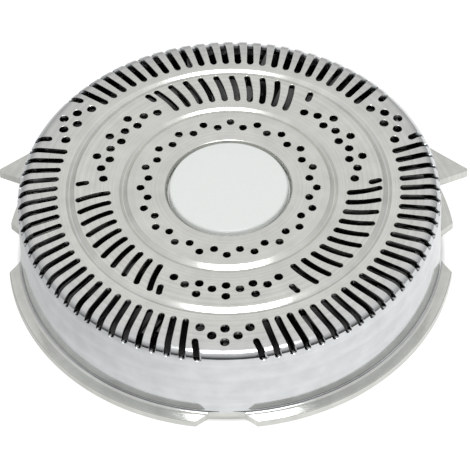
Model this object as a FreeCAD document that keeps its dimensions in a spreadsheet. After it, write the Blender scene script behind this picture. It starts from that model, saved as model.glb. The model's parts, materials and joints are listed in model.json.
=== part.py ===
import FreeCAD, Part

import math
import os
import re

import Sketcher
from FreeCAD import Placement, Rotation, Vector

# Rotary shaver head: a drawn steel cap with three shaving tracks, its white centre disc,
# and the cutter that turns under the tracks with its lifter ring and drive hub.
# Millimetres and degrees. The origin is the centre of the flange's underside, +Z runs up
# the cutter's axis, and the notch in the front of the flange points along -Y.

SIZES = {
    # Cap: the sheet, its heights and its wall
    "sheet_thickness": 0.3,
    "wall_thickness": 0.35,
    "wall_radius": 12.05,
    "cap_height": 5.85,
    "middle_track_drop": 0.08,
    "outer_track_drop": 0.25,
    "rim_rounding": 0.7,
    # Cap: dished centre that takes the disc
    "dish_radius": 3.6,
    "dish_depth": 0.35,
    "stub_hole_radius": 1.4,
    # Cap: pressed grooves between the tracks
    "inner_groove_radius": 6.05,
    "inner_groove_width": 0.72,
    "outer_groove_radius": 9.08,
    "outer_groove_width": 0.8,
    "groove_floor_width": 0.3,
    "groove_depth": 0.3,
    "ridge_overhang": 0.12,
    "opening_depth": 0.85,
    # Cap: flange, its notches and its tabs, widths from the wall or the flange, angles from the front
    "flange_width": 0.75,
    "flange_thickness": 0.5,
    "flange_foot": 0.25,
    "notch_land": 0.07,
    "front_notch_floor_angle": 4.8,
    "front_notch_mouth_angle": 7.3,
    "side_notch_floor_start": 85.5,
    "side_notch_mouth_start": 82.5,
    "side_notch_floor_end": 94.5,
    "side_notch_mouth_end": 96.5,
    "shoulder_step": 0.12,
    "shoulder_end_angle": 111.3,
    "tab_tip_reach": 2.63,
    "tab_tip_angle": 111.3,
    "tab_tip_rounding": 0.45,
    "tab_back_reach": 0.95,
    "tab_back_angle": 125.0,
    "tab_back_rounding": 1.0,
    "tab_root_angle": 132.0,
    # Cap: holes in the tracks, in three groups of one pattern
    "group_count": 3,
    "inner_hole_count": 20,
    "inner_near_radius": 4.63,
    "inner_far_radius": 5.0,
    "inner_hole_radius": 0.23,
    "middle_near_count": 5,
    "middle_mid_count": 4,
    "middle_far_count": 3,
    "middle_near_radius": 7.18,
    "middle_mid_radius": 7.46,
    "middle_far_radius": 7.96,
    "middle_hole_pitch": 12.0,
    "middle_hole_radius": 0.25,
    "outer_near_count": 3,
    "outer_mid_count": 2,
    "outer_far_count": 1,
    "outer_near_radius": 10.17,
    "outer_mid_radius": 10.66,
    "outer_far_radius": 11.08,
    "outer_hole_pitch": 7.8,
    "outer_hole_radius": 0.27,
    # Cap: slots in the tracks, centred between the groups of holes
    "middle_slot_count": 10,
    "middle_slot_pitch": 6.04,
    "middle_slot_start_radius": 6.7,
    "middle_slot_short_radius": 8.1,
    "middle_slot_end_radius": 8.55,
    "middle_slot_width": 0.32,
    "middle_slot_lean": 12.0,
    "outer_slot_count": 24,
    "outer_slot_pitch": 4.1,
    "outer_slot_start_radius": 9.79,
    "outer_slot_short_radius": 11.0,
    "outer_slot_width": 0.36,
    "outer_slot_lean": 7.0,
    # Centre disc, with the clearances of its stub and pin
    "disc_gap": 0.22,
    "disc_proud": 0.12,
    "disc_edge": 0.1,
    "stub_clearance": 0.05,
    "stake_radius": 1.9,
    "stake_thickness": 0.3,
    "pin_radius": 1.1,
    "pin_length": 2.1,
    "pin_chamfer": 0.2,
    # Cutter: plate, windows and legs, with its depth under the top and its place inside the wall
    "leg_count": 15,
    "cutter_depth": 2.45,
    "cutter_clearance": 0.35,
    "plate_thickness": 0.5,
    "bore_clearance": 0.02,
    "leg_width": 0.5,
    "leg_lean": 30.0,
    "leg_start_radius": 4.45,
    "leg_inset": 0.25,
    "notch_allowance": 0.25,
    "window_inner_width": 0.9,
    "window_outer_width": 2.0,
    "window_rim": 0.65,
    "blade_clearance": 0.08,
    "ridge_clearance": 0.2,
    # Lifter ring
    "lifter_thickness": 0.2,
    "lifter_gap": 0.17,
    "lifter_play": 0.05,
    "lifter_travel": 0.1,
    "lifter_drop": 0.1,
    "lifter_bore_clearance": 0.1,
    "lifter_ring_radius": 4.2,
    "lifter_arm_width": 0.75,
    # Drive hub
    "hub_bottom": 0.15,
    "boss_radius": 3.0,
    "collar_radius": 3.9,
    "collar_thickness": 0.8,
    "step_radius": 2.9,
    "neck_radius": 2.5,
    "head_radius": 3.2,
    "head_thickness": 0.4,
    "bearing_clearance": 0.05,
    "bearing_end_gap": 0.25,
    "socket_length": 3.8,
    "socket_width": 2.2,
    "socket_depth": 2.0,
    "hub_chamfer": 0.25,
}

# Heights and radii that follow from the sizes above, each written as a formula.
LEVELS = {
    "dish_floor": "cap_height - dish_depth",
    "middle_track": "cap_height - middle_track_drop",
    "outer_track": "cap_height - outer_track_drop",
    "inner_wall_radius": "wall_radius - wall_thickness",
    "inner_groove_floor": "middle_track - groove_depth",
    "outer_groove_floor": "outer_track - groove_depth",
    "rim_centre_radius": "wall_radius - rim_rounding",
    "rim_centre": "outer_track - rim_rounding",
    "disc_radius": "dish_radius - disc_gap",
    "stub_radius": "stub_hole_radius - stub_clearance",
    "stake_top": "dish_floor - sheet_thickness",
    "pin_end": "stake_top - pin_length",
    "flange_radius": "wall_radius + flange_width",
    "shoulder_radius": "flange_radius + shoulder_step",
    "notch_floor_radius": "wall_radius + notch_land",
    "tab_tip_radius": "flange_radius + tab_tip_reach",
    "tab_back_radius": "flange_radius + tab_back_reach",
    "plate_radius": "inner_wall_radius - cutter_clearance",
    "leg_end_radius": "plate_radius - leg_inset",
    "window_end_radius": "plate_radius - window_rim",
    "plate_bottom": "cap_height - cutter_depth",
    "plate_top": "plate_bottom + plate_thickness",
    "plate_bore_radius": "neck_radius + bore_clearance",
    "lifter_top": "plate_bottom - lifter_play",
    "lifter_bottom": "lifter_top - lifter_thickness",
    "lifter_bore_radius": "step_radius + lifter_bore_clearance",
    "lifter_leg_start": "leg_width + lifter_gap",
    "lifter_leg_width": "lifter_thickness / cos(leg_lean)",
    "lifter_end_radius": "window_end_radius - lifter_gap",
    "collar_top": "lifter_bottom - lifter_travel - lifter_play",
    "collar_bottom": "collar_top - collar_thickness",
    "head_top": "plate_top + head_thickness",
    "bearing_radius": "pin_radius + bearing_clearance",
    "bearing_floor": "pin_end - bearing_end_gap",
    "above_cap": "cap_height + 1",
    "beyond_cap": "wall_radius + 1",
}

ALIASES = set(SIZES) | set(LEVELS)
FULL_TURN = 360
FRONT = -90
HOLE_SIDES = "6"
RIM_ANGLES = (90, 45, 0)


def qualified(formula):
    """The formula with each size's name led by the name of the sheet."""
    return re.sub(r"[a-z_]+", lambda word: "sizes." + word[0] if word[0] in ALIASES else word[0], formula)


def make_sheet(doc):
    """The driving sizes in column B, and the levels that follow from them below."""
    sheet = doc.addObject("Spreadsheet::Sheet", "sizes")
    row = 0
    for name, value in SIZES.items():
        row += 1
        sheet.set("A%d" % row, name)
        sheet.set("B%d" % row, str(value))
        sheet.setAlias("B%d" % row, name)
    for name, formula in LEVELS.items():
        row += 1
        sheet.set("A%d" % row, name)
        sheet.set("B%d" % row, "=" + formula)
        sheet.setAlias("B%d" % row, name)
    doc.recompute()
    return sheet


class Model:
    """The document, its sheet, and the few ways in which the pieces are drawn."""

    def __init__(self):
        self.doc = FreeCAD.newDocument("shaver_head")
        self.sheet = make_sheet(self.doc)

    def value(self, formula):
        """What a formula of sizes comes to."""
        return float(self.sheet.evalExpression(formula))

    def body(self, name):
        """An empty body whose label names its file."""
        body = self.doc.addObject("PartDesign::Body", name)
        body.Label = name
        return body

    def origin(self, body, role):
        """A plane or axis of the body's own origin."""
        return next(item for item in body.Origin.OriginFeatures if item.Role == role)

    def sketch(self, body, name, role, lift="0", turn="0"):
        """A sketch on an origin plane, lifted along its normal and turned about it."""
        sketch = body.newObject("Sketcher::SketchObject", name)
        sketch.AttachmentSupport = [(self.origin(body, role), "")]
        sketch.MapMode = "FlatFace"
        turned = Rotation(Vector(0, 0, 1), self.value(turn))
        sketch.AttachmentOffset = Placement(Vector(0, 0, self.value(lift)), turned)
        sketch.setExpression("AttachmentOffset.Base.z", qualified(lift))
        sketch.setExpression("AttachmentOffset.Rotation.Angle", qualified(turn))
        return sketch

    def bind(self, sketch, constraint, formula):
        """Adds a dimension to a sketch and binds it to the sheet."""
        index = sketch.addConstraint(constraint)
        sketch.setExpression("Constraints[%d]" % index, qualified(formula))

    def offset(self, sketch, kind, item, end, formula):
        """Sets a point's distance from the origin across or along, which the sketch holds as positive."""
        distance = self.value(formula)
        if distance < 0:
            self.bind(sketch, Sketcher.Constraint(kind, item, end, -1, 1, -distance), "-(%s)" % formula)
        else:
            self.bind(sketch, Sketcher.Constraint(kind, -1, 1, item, end, distance), formula)

    def locate(self, sketch, item, end, place):
        """Fixes a point of the sketch at a place given by two formulas."""
        self.offset(sketch, "DistanceX", item, end, place[0])
        self.offset(sketch, "DistanceY", item, end, place[1])

    def polygon(self, sketch, places):
        """A closed outline through places given by formulas, with a third one where a corner is rounded."""
        corners = [Vector(self.value(place[0]), self.value(place[1]), 0) for place in places]
        count = len(corners)
        ends = []
        for i, corner in enumerate(corners):
            size = self.value(places[i][2]) if len(places[i]) > 2 else 0
            back = (corners[i - 1] - corner).normalize()
            ahead = (corners[(i + 1) % count] - corner).normalize()
            cut = size / math.tan(back.getAngle(ahead) / 2)
            ends.append((corner + back * cut, corner + ahead * cut))
        first = sketch.GeometryCount
        lines = [Part.LineSegment(ends[i][1], ends[(i + 1) % count][0]) for i in range(count)]
        sketch.addGeometry(lines, False)
        for i, place in enumerate(places):
            before = first + (i - 1) % count
            if len(place) == 2:
                sketch.addConstraint(Sketcher.Constraint("Coincident", before, 2, first + i, 1))
                self.locate(sketch, first + i, 1, place)
            else:
                self.rounded(sketch, before, first + i, corners[i], ends[i], place)

    def rounded(self, sketch, before, after, corner, ends, place):
        """An arc that runs tangent into two lines, whose lines meet at a fixed point."""
        size = self.value(place[2])
        middle = (ends[0] + ends[1]) * 0.5
        centre = corner + (middle - corner) * ((ends[0] - corner).Length / (middle - corner).Length) ** 2
        bulge = centre + (corner - centre).normalize() * size
        arc = sketch.addGeometry(Part.Arc(ends[0], bulge, ends[1]), False)
        same_way = sketch.getPoint(arc, 1).isEqual(ends[0], 0.001)
        start, end = (1, 2) if same_way else (2, 1)
        sketch.addConstraint(Sketcher.Constraint("Tangent", before, 2, arc, start))
        sketch.addConstraint(Sketcher.Constraint("Tangent", arc, end, after, 1))
        self.bind(sketch, Sketcher.Constraint("Radius", arc, size), place[2])
        point = sketch.addGeometry(Part.Point(corner), True)
        sketch.addConstraint(Sketcher.Constraint("PointOnObject", point, 1, before))
        sketch.addConstraint(Sketcher.Constraint("PointOnObject", point, 1, after))
        self.locate(sketch, point, 1, place)

    def turned(self, body, kind, sketch):
        """A Revolution or Groove of a half section about the cutter's axis."""
        feature = body.newObject("PartDesign::" + kind, sketch.Name + "_" + kind.lower())
        feature.Profile = sketch
        feature.ReferenceAxis = (sketch, ["V_Axis"])
        feature.Angle = FULL_TURN
        return feature

    def raised(self, body, kind, sketch, length, reverse=False):
        """A Pad or Pocket of a sketch, as long as the formula says."""
        feature = body.newObject("PartDesign::" + kind, sketch.Name + "_" + kind.lower())
        feature.Profile = sketch
        feature.Length = self.value(length)
        feature.setExpression("Length", qualified(length))
        feature.Reversed = reverse
        return feature

    def around(self, body, features, count, name):
        """A full ring of copies of some features about the cutter's axis."""
        ring = body.newObject("PartDesign::PolarPattern", name)
        ring.Originals = features
        ring.Axis = (self.origin(body, "Z_Axis"), [""])
        ring.Angle = FULL_TURN
        ring.Occurrences = int(self.value(count))
        ring.setExpression("Occurrences", qualified(count))
        body.Tip = ring
        return ring

    def chamfered(self, body, chosen, size, name):
        """A Chamfer of the edges that a test on the body's latest shape picks."""
        self.doc.recompute()
        base = body.Tip
        edges = ["Edge%d" % (i + 1) for i, edge in enumerate(base.Shape.Edges) if chosen(edge)]
        feature = body.newObject("PartDesign::Chamfer", name)
        feature.Base = (base, edges)
        feature.Size = self.value(size)
        feature.setExpression("Size", qualified(size))
        return feature


def near(one, other):
    """Whether two lengths are the same for the finding of an edge."""
    return abs(one - other) < 0.001


def rings_at(model, radius, height):
    """A test for the round edges of a given radius at a given height."""
    size = model.value(radius)
    level = model.value(height)

    def chosen(edge):
        curve = edge.Curve
        return isinstance(curve, Part.Circle) and near(curve.Radius, size) and near(curve.Center.z, level)

    return chosen


def at_angle(radius, angle, side=1):
    """Formulas for the place at a radius and an angle from the front, on the right or the left."""
    return ("%d * (%s) * sin(%s)" % (side, radius, angle), "-(%s) * cos(%s)" % (radius, angle))


def groove_dip(name, inside, outside, floor, spare="0"):
    """The four places of a groove's channel, or of the ridge under it, from the inner track outwards."""
    half = "(%s_width / 2 + %s)" % (name, spare)
    half_floor = "(groove_floor_width / 2 + %s)" % spare
    return [
        ("%s_radius - %s" % (name, half), inside),
        ("%s_radius - %s" % (name, half_floor), floor),
        ("%s_radius + %s" % (name, half_floor), floor),
        ("%s_radius + %s" % (name, half), outside),
    ]


def rim_rounding():
    """The places along the rim's rounding, drawn as a few chords so that the slots cut clean edges."""
    across = "rim_centre_radius + rim_rounding * cos(%d)"
    along = "rim_centre + rim_rounding * sin(%d)"
    return [(across % angle, along % angle) for angle in RIM_ANGLES]


def cap_shell(model, body):
    """The drawn sheet in one half section: dish, three tracks with pressed grooves, wall and flange."""
    under = " - sheet_thickness"
    top = groove_dip("inner_groove", "cap_height", "middle_track", "inner_groove_floor")
    top += groove_dip("outer_groove", "middle_track", "outer_track", "outer_groove_floor")
    ridges = groove_dip(
        "inner_groove",
        "cap_height" + under,
        "middle_track" + under,
        "inner_groove_floor" + under,
        "ridge_overhang",
    )
    ridges += groove_dip(
        "outer_groove",
        "middle_track" + under,
        "outer_track" + under,
        "outer_groove_floor" + under,
        "ridge_overhang",
    )
    outside = [("stub_hole_radius", "dish_floor"), ("dish_radius", "dish_floor"), ("dish_radius", "cap_height")]
    foot = [
        ("wall_radius", "flange_thickness + flange_foot"),
        ("wall_radius + flange_foot", "flange_thickness"),
        ("flange_radius", "flange_thickness"),
        ("flange_radius", "0"),
        ("inner_wall_radius", "0"),
        ("inner_wall_radius", "outer_track" + under),
    ]
    inside = [
        ("dish_radius + sheet_thickness", "cap_height" + under),
        ("dish_radius + sheet_thickness", "dish_floor" + under),
        ("stub_hole_radius", "dish_floor" + under),
    ]
    section = model.sketch(body, "cap_section", "XZ_Plane")
    model.polygon(section, outside + top + rim_rounding() + foot + ridges[::-1] + inside)
    model.turned(body, "Revolution", section)


def cap_tabs(model, body):
    """A pointed tab on each side of the flange, with the low shoulder in front of it."""
    middle = "(side_notch_mouth_end + shoulder_end_angle) / 2"
    for name, side in (("right", 1), ("left", -1)):
        tab = model.sketch(body, name + "_tab", "XY_Plane")
        model.polygon(
            tab,
            [
                at_angle("wall_radius", "side_notch_floor_start", side),
                at_angle("shoulder_radius", "side_notch_floor_start", side),
                at_angle("shoulder_radius", "side_notch_mouth_end", side),
                at_angle("shoulder_radius", middle, side),
                at_angle("shoulder_radius", "shoulder_end_angle", side),
                at_angle("tab_tip_radius", "tab_tip_angle", side) + ("tab_tip_rounding",),
                at_angle("tab_back_radius", "tab_back_angle", side) + ("tab_back_rounding",),
                at_angle("flange_radius", "tab_root_angle", side),
                at_angle("wall_radius", "tab_root_angle", side),
            ],
        )
        model.raised(body, "Pad", tab, "flange_thickness")


def cap_notches(model, body):
    """The notches in the front and the two sides of the flange."""
    outside = "shoulder_radius + 1"
    front = [
        at_angle("notch_floor_radius", "front_notch_floor_angle", -1),
        at_angle(outside, "front_notch_mouth_angle", -1),
        at_angle(outside, "front_notch_mouth_angle"),
        at_angle("notch_floor_radius", "front_notch_floor_angle"),
    ]
    notches = [("front", front)]
    for name, side in (("right", 1), ("left", -1)):
        corners = [
            at_angle("notch_floor_radius", "side_notch_floor_start", side),
            at_angle(outside, "side_notch_mouth_start", side),
            at_angle(outside, "side_notch_mouth_end", side),
            at_angle("notch_floor_radius", "side_notch_floor_end", side),
        ]
        notches.append((name, corners))
    for name, corners in notches:
        notch = model.sketch(body, name + "_notch", "XY_Plane")
        model.polygon(notch, corners)
        model.raised(body, "Pocket", notch, "flange_thickness + 2 * flange_foot", True)


def opening_form(model, name, kind, sizes, place, turn="0"):
    """One hole or slot as a solid bound to the sheet, along the X axis, up through the sheet metal."""
    form = model.doc.addObject("Part::" + kind, name)
    height = {"Height": "opening_depth + sheet_thickness"}
    for prop, formula in {**sizes, **height}.items():
        form.setExpression(prop, qualified(formula))
    levels = dict(zip("xyz", place + ("cap_height - opening_depth",)))
    corner = Vector(*(model.value(formula) for formula in levels.values()))
    form.Placement = Placement(corner, Rotation(Vector(0, 0, 1), model.value(turn)))
    for axis, formula in levels.items():
        form.setExpression("Placement.Base." + axis, qualified(formula))
    form.setExpression("Placement.Rotation.Angle", qualified(turn))
    return form


def hole_rows(model):
    """Each row of holes: its form, its first angle, pitch and count, and how often it comes round."""
    rows = []
    ring = model.value("inner_hole_count")
    for row, shift in (("near", FULL_TURN / ring / 2), ("far", 0)):
        sizes = {"Polygon": HOLE_SIDES, "Circumradius": "inner_hole_radius"}
        form = opening_form(model, "inner_%s_hole" % row, "Prism", sizes, ("inner_%s_radius" % row, "0"))
        rows.append((form, FRONT + shift, FULL_TURN / ring, int(ring), 1))
    groups = int(model.value("group_count"))
    for track in ("middle", "outer"):
        pitch = model.value(track + "_hole_pitch")
        for row in ("near", "mid", "far"):
            sizes = {"Polygon": HOLE_SIDES, "Circumradius": track + "_hole_radius"}
            place = ("%s_%s_radius" % (track, row), "0")
            form = opening_form(model, "%s_%s_hole" % (track, row), "Prism", sizes, place)
            count = int(model.value("%s_%s_count" % (track, row)))
            rows.append((form, FRONT - (count - 1) / 2 * pitch, pitch, count, groups))
    return rows


def slot_rows(model):
    """The slots between the groups of holes: a row of full ones, and a short one at each end of it."""
    rows = []
    groups = int(model.value("group_count"))
    for track, end in (("middle", "middle_slot_end_radius"), ("outer", "beyond_cap")):
        name = track + "_slot"
        pitch = model.value(name + "_pitch")
        count = int(model.value(name + "_count"))
        first = FRONT + FULL_TURN / groups / 2 - (count - 1) / 2 * pitch
        for row, start, angle, step, number in (
            ("full", name + "_start_radius", first, pitch, count),
            ("short", name + "_short_radius", first - pitch, pitch * (count + 1), 2),
        ):
            length = "(%s - %s) / cos(%s_lean)" % (end, start, name)
            sizes = {"Length": length, "Width": name + "_width"}
            place = (start, "-%s_width / 2" % name)
            form = opening_form(model, "%s_%s" % (name, row), "Box", sizes, place, name + "_lean")
            rows.append((form, angle, step, number, groups))
    return rows


def cap_openings(model):
    """All the holes and slots of the three tracks, each row copied about the cutter's axis."""
    rows = hole_rows(model) + slot_rows(model)
    model.doc.recompute()
    solids = []
    for form, first, pitch, count, groups in rows:
        for copy in range(count * groups):
            solid = form.Shape.copy()
            angle = first + copy % count * pitch + copy // count * FULL_TURN / groups
            solid.rotate(Vector(0, 0, 0), Vector(0, 0, 1), angle)
            solids.append(solid)
    openings = model.doc.addObject("Part::Feature", "cap_openings")
    openings.Shape = Part.makeCompound(solids)
    return openings


def shaving_cap(model):
    """The drawn steel cap: the pressed blank with its flange, and then the openings through its tracks."""
    body = model.body("cap_blank")
    cap_shell(model, body)
    cap_tabs(model, body)
    cap_notches(model, body)
    cap = model.doc.addObject("Part::Cut", "pierced_cap")
    cap.Label = "shaving_cap"
    cap.Base = body
    cap.Tool = cap_openings(model)
    return cap


def centre_disc(model):
    """The white disc, staked under the cap's sheet, with the pin on which the cutter turns."""
    body = model.body("centre_disc")
    section = model.sketch(body, "disc_section", "XZ_Plane")
    model.polygon(
        section,
        [
            ("0", "cap_height + disc_proud"),
            ("disc_radius", "cap_height + disc_proud"),
            ("disc_radius", "dish_floor"),
            ("stub_radius", "dish_floor"),
            ("stub_radius", "stake_top"),
            ("stake_radius", "stake_top"),
            ("stake_radius", "stake_top - stake_thickness"),
            ("pin_radius", "stake_top - stake_thickness"),
            ("pin_radius", "pin_end"),
            ("0", "pin_end"),
        ],
    )
    model.turned(body, "Revolution", section)
    top_edge = rings_at(model, "disc_radius", "cap_height + disc_proud")
    model.chamfered(body, top_edge, "disc_edge", "disc_bevel")
    pin_edge = rings_at(model, "pin_radius", "pin_end")
    model.chamfered(body, pin_edge, "pin_chamfer", "pin_lead")
    return body


def tooth_outline(drop):
    """What grinding takes off a leg, seen from the side: all above the tracks and about the ridges."""
    gap = " - sheet_thickness - blade_clearance - " + drop
    notches = []
    for groove in ("inner_groove", "outer_groove"):
        reach = "(%s_width / 2 + ridge_overhang + ridge_clearance)" % groove
        floor = "%s_floor - sheet_thickness - ridge_clearance - %s" % (groove, drop)
        notches.append(("%s_radius - %s - notch_allowance" % (groove, reach), floor))
        notches.append(("%s_radius + %s" % (groove, reach), floor))
    near_one, far_one, near_two, far_two = notches
    return [
        ("step_radius", "above_cap"),
        ("step_radius", "cap_height" + gap),
        (near_one[0], "cap_height" + gap),
        near_one,
        far_one,
        (far_one[0], "middle_track" + gap),
        (near_two[0], "middle_track" + gap),
        near_two,
        far_two,
        (far_two[0], "outer_track" + gap),
        ("beyond_cap", "outer_track" + gap),
        ("beyond_cap", "above_cap"),
    ]


def leg_row(model, body, name, start, width, end_radius, foot, drop):
    """Legs that lean forwards, each a long narrow plate along a radius, ground to the tracks."""
    slant = "(cap_height - plate_bottom) * tan(leg_lean)"
    foot_slant = "(%s - plate_bottom) * tan(leg_lean)" % foot
    side = model.sketch(body, name, "YZ_Plane", "leg_start_radius")
    model.polygon(
        side,
        [
            ("%s + %s" % (start, foot_slant), foot),
            ("%s + %s + %s" % (start, width, foot_slant), foot),
            ("%s + %s + %s" % (start, width, slant), "cap_height"),
            ("%s + %s" % (start, slant), "cap_height"),
        ],
    )
    leg = model.raised(body, "Pad", side, end_radius + " - leg_start_radius")
    ground = model.sketch(body, name + "_ground", "XZ_Plane")
    model.polygon(ground, tooth_outline(drop))
    teeth = model.raised(body, "Pocket", ground, "%s + %s + %s" % (start, width, slant))
    model.around(body, [leg, teeth], "leg_count", name + "_ring")


def cutter(model):
    """The stamped cutter: a plate with a window in front of each bent-up leg."""
    body = model.body("cutter")
    section = model.sketch(body, "plate_section", "XZ_Plane")
    model.polygon(
        section,
        [
            ("plate_bore_radius", "plate_bottom"),
            ("plate_radius", "plate_bottom"),
            ("plate_radius", "plate_top"),
            ("plate_bore_radius", "plate_top"),
        ],
    )
    model.turned(body, "Revolution", section)
    window = model.sketch(body, "window", "XY_Plane", "plate_top")
    model.polygon(
        window,
        [
            ("leg_start_radius", "leg_width"),
            ("window_end_radius", "leg_width"),
            ("window_end_radius", "leg_width + window_outer_width"),
            ("leg_start_radius", "leg_width + window_inner_width"),
        ],
    )
    pocket = model.raised(body, "Pocket", window, "plate_thickness")
    model.around(body, [pocket], "leg_count", "window_ring")
    leg_row(model, body, "blade_leg", "0", "leg_width", "leg_end_radius", "plate_bottom", "0")
    return body


def lifter_ring(model):
    """The spring-steel ring under the plate, with a lifter in front of each blade."""
    body = model.body("lifter_ring")
    section = model.sketch(body, "lifter_section", "XZ_Plane")
    model.polygon(
        section,
        [
            ("lifter_bore_radius", "lifter_bottom"),
            ("lifter_ring_radius", "lifter_bottom"),
            ("lifter_ring_radius", "lifter_top"),
            ("lifter_bore_radius", "lifter_top"),
        ],
    )
    model.turned(body, "Revolution", section)
    arm = model.sketch(body, "lifter_arm", "XY_Plane", "lifter_bottom")
    arm_start = "lifter_leg_start - lifter_leg_width"
    model.polygon(
        arm,
        [
            ("step_radius + lifter_bore_clearance + lifter_thickness", arm_start),
            ("lifter_end_radius", arm_start),
            ("lifter_end_radius", arm_start + " + lifter_arm_width"),
            ("step_radius + lifter_bore_clearance + lifter_thickness", arm_start + " + lifter_arm_width"),
        ],
    )
    pad = model.raised(body, "Pad", arm, "lifter_thickness")
    model.around(body, [pad], "leg_count", "lifter_arms")
    width = "lifter_leg_width"
    end = "lifter_end_radius"
    leg_row(model, body, "lifter_leg", "lifter_leg_start", width, end, "lifter_bottom", "lifter_drop")
    return body


def drive_hub(model):
    """The moulded hub: bearing hole above, collar and step for the rings, spindle socket below."""
    body = model.body("drive_hub")
    section = model.sketch(body, "hub_section", "XZ_Plane")
    model.polygon(
        section,
        [
            ("0", "hub_bottom"),
            ("boss_radius", "hub_bottom"),
            ("boss_radius", "collar_bottom"),
            ("collar_radius", "collar_bottom"),
            ("collar_radius", "collar_top"),
            ("step_radius", "collar_top"),
            ("step_radius", "plate_bottom"),
            ("neck_radius", "plate_bottom"),
            ("neck_radius", "plate_top"),
            ("head_radius", "plate_top"),
            ("head_radius", "head_top"),
            ("bearing_radius", "head_top"),
            ("bearing_radius", "bearing_floor"),
            ("0", "bearing_floor"),
        ],
    )
    model.turned(body, "Revolution", section)
    foot_edge = rings_at(model, "boss_radius", "hub_bottom")
    model.chamfered(body, foot_edge, "hub_chamfer", "hub_foot")
    socket = model.sketch(body, "spindle_socket", "XY_Plane", "hub_bottom")
    model.polygon(
        socket,
        [
            ("-socket_length / 2", "-socket_width / 2"),
            ("socket_length / 2", "-socket_width / 2"),
            ("socket_length / 2", "socket_width / 2"),
            ("-socket_length / 2", "socket_width / 2"),
        ],
    )
    model.raised(body, "Pocket", socket, "socket_depth", True)
    return body


def checked(doc, bodies):
    """Stops if any object failed or any piece has no sound solid."""
    doc.recompute()
    for item in doc.Objects:
        if "Invalid" in item.State or "Error" in item.State:
            raise RuntimeError("%s failed: %s" % (item.Name, item.State))
    for body in bodies:
        shape = body.Shape
        if shape.isNull() or not shape.isValid():
            raise RuntimeError("%s has no sound shape" % body.Label)
        print("%s: %.2f cubic mm, %d solid" % (body.Label, shape.Volume, len(shape.Solids)))


def main():
    """Builds the pieces and writes one file for each."""
    model = Model()
    bodies = [maker(model) for maker in (shaving_cap, centre_disc, cutter, lifter_ring, drive_hub)]
    checked(model.doc, bodies)
    os.makedirs("parts", exist_ok=True)
    for body in bodies:
        body.Shape.exportStep("parts/%s.step" % body.Label)


main()
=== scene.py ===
"""Dresses the rotary shaver head: steel cap, white centre disc and the cutter that turns under it."""

import json
import logging
import math
from dataclasses import dataclass
from enum import Enum

import bmesh
import bpy
from mathutils import Matrix, Vector

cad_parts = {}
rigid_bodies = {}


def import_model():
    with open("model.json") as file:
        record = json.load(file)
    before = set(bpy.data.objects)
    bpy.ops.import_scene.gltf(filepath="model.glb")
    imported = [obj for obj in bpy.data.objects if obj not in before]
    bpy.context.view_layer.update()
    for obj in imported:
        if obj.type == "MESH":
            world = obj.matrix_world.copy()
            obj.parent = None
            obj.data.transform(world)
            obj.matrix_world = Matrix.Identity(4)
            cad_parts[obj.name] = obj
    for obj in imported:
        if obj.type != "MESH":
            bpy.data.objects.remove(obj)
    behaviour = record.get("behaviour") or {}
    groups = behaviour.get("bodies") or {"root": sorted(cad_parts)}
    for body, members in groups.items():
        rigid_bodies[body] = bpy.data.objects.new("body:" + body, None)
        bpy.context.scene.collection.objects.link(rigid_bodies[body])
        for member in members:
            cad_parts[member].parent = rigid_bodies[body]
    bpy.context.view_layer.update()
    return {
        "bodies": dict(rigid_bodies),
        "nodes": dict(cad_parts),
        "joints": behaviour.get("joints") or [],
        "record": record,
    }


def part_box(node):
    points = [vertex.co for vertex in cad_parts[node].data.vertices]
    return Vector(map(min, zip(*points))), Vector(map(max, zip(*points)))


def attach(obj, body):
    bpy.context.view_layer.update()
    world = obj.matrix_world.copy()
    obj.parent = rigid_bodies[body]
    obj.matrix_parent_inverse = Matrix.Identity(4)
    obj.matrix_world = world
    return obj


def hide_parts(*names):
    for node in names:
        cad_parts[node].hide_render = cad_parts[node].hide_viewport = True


LOG = logging.getLogger("shaver_head")
MM = 0.001
FULL_TURN = 2 * math.pi
FRONT = -math.pi / 2
DEPTH = "inside_depth"
TINY = MM / 1000
SMOOTH_ANGLE = 32.0
WHITE = (1.0, 1.0, 1.0, 1.0)

Point = tuple[float, float]
Bend = tuple[float, float, float]
Colour = tuple[float, float, float]
Source = bpy.types.NodeSocket | float | tuple[float, ...]


class Solver(Enum):
    """How a solid is cut or joined."""

    CUT = "DIFFERENCE"
    JOIN = "UNION"


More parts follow.
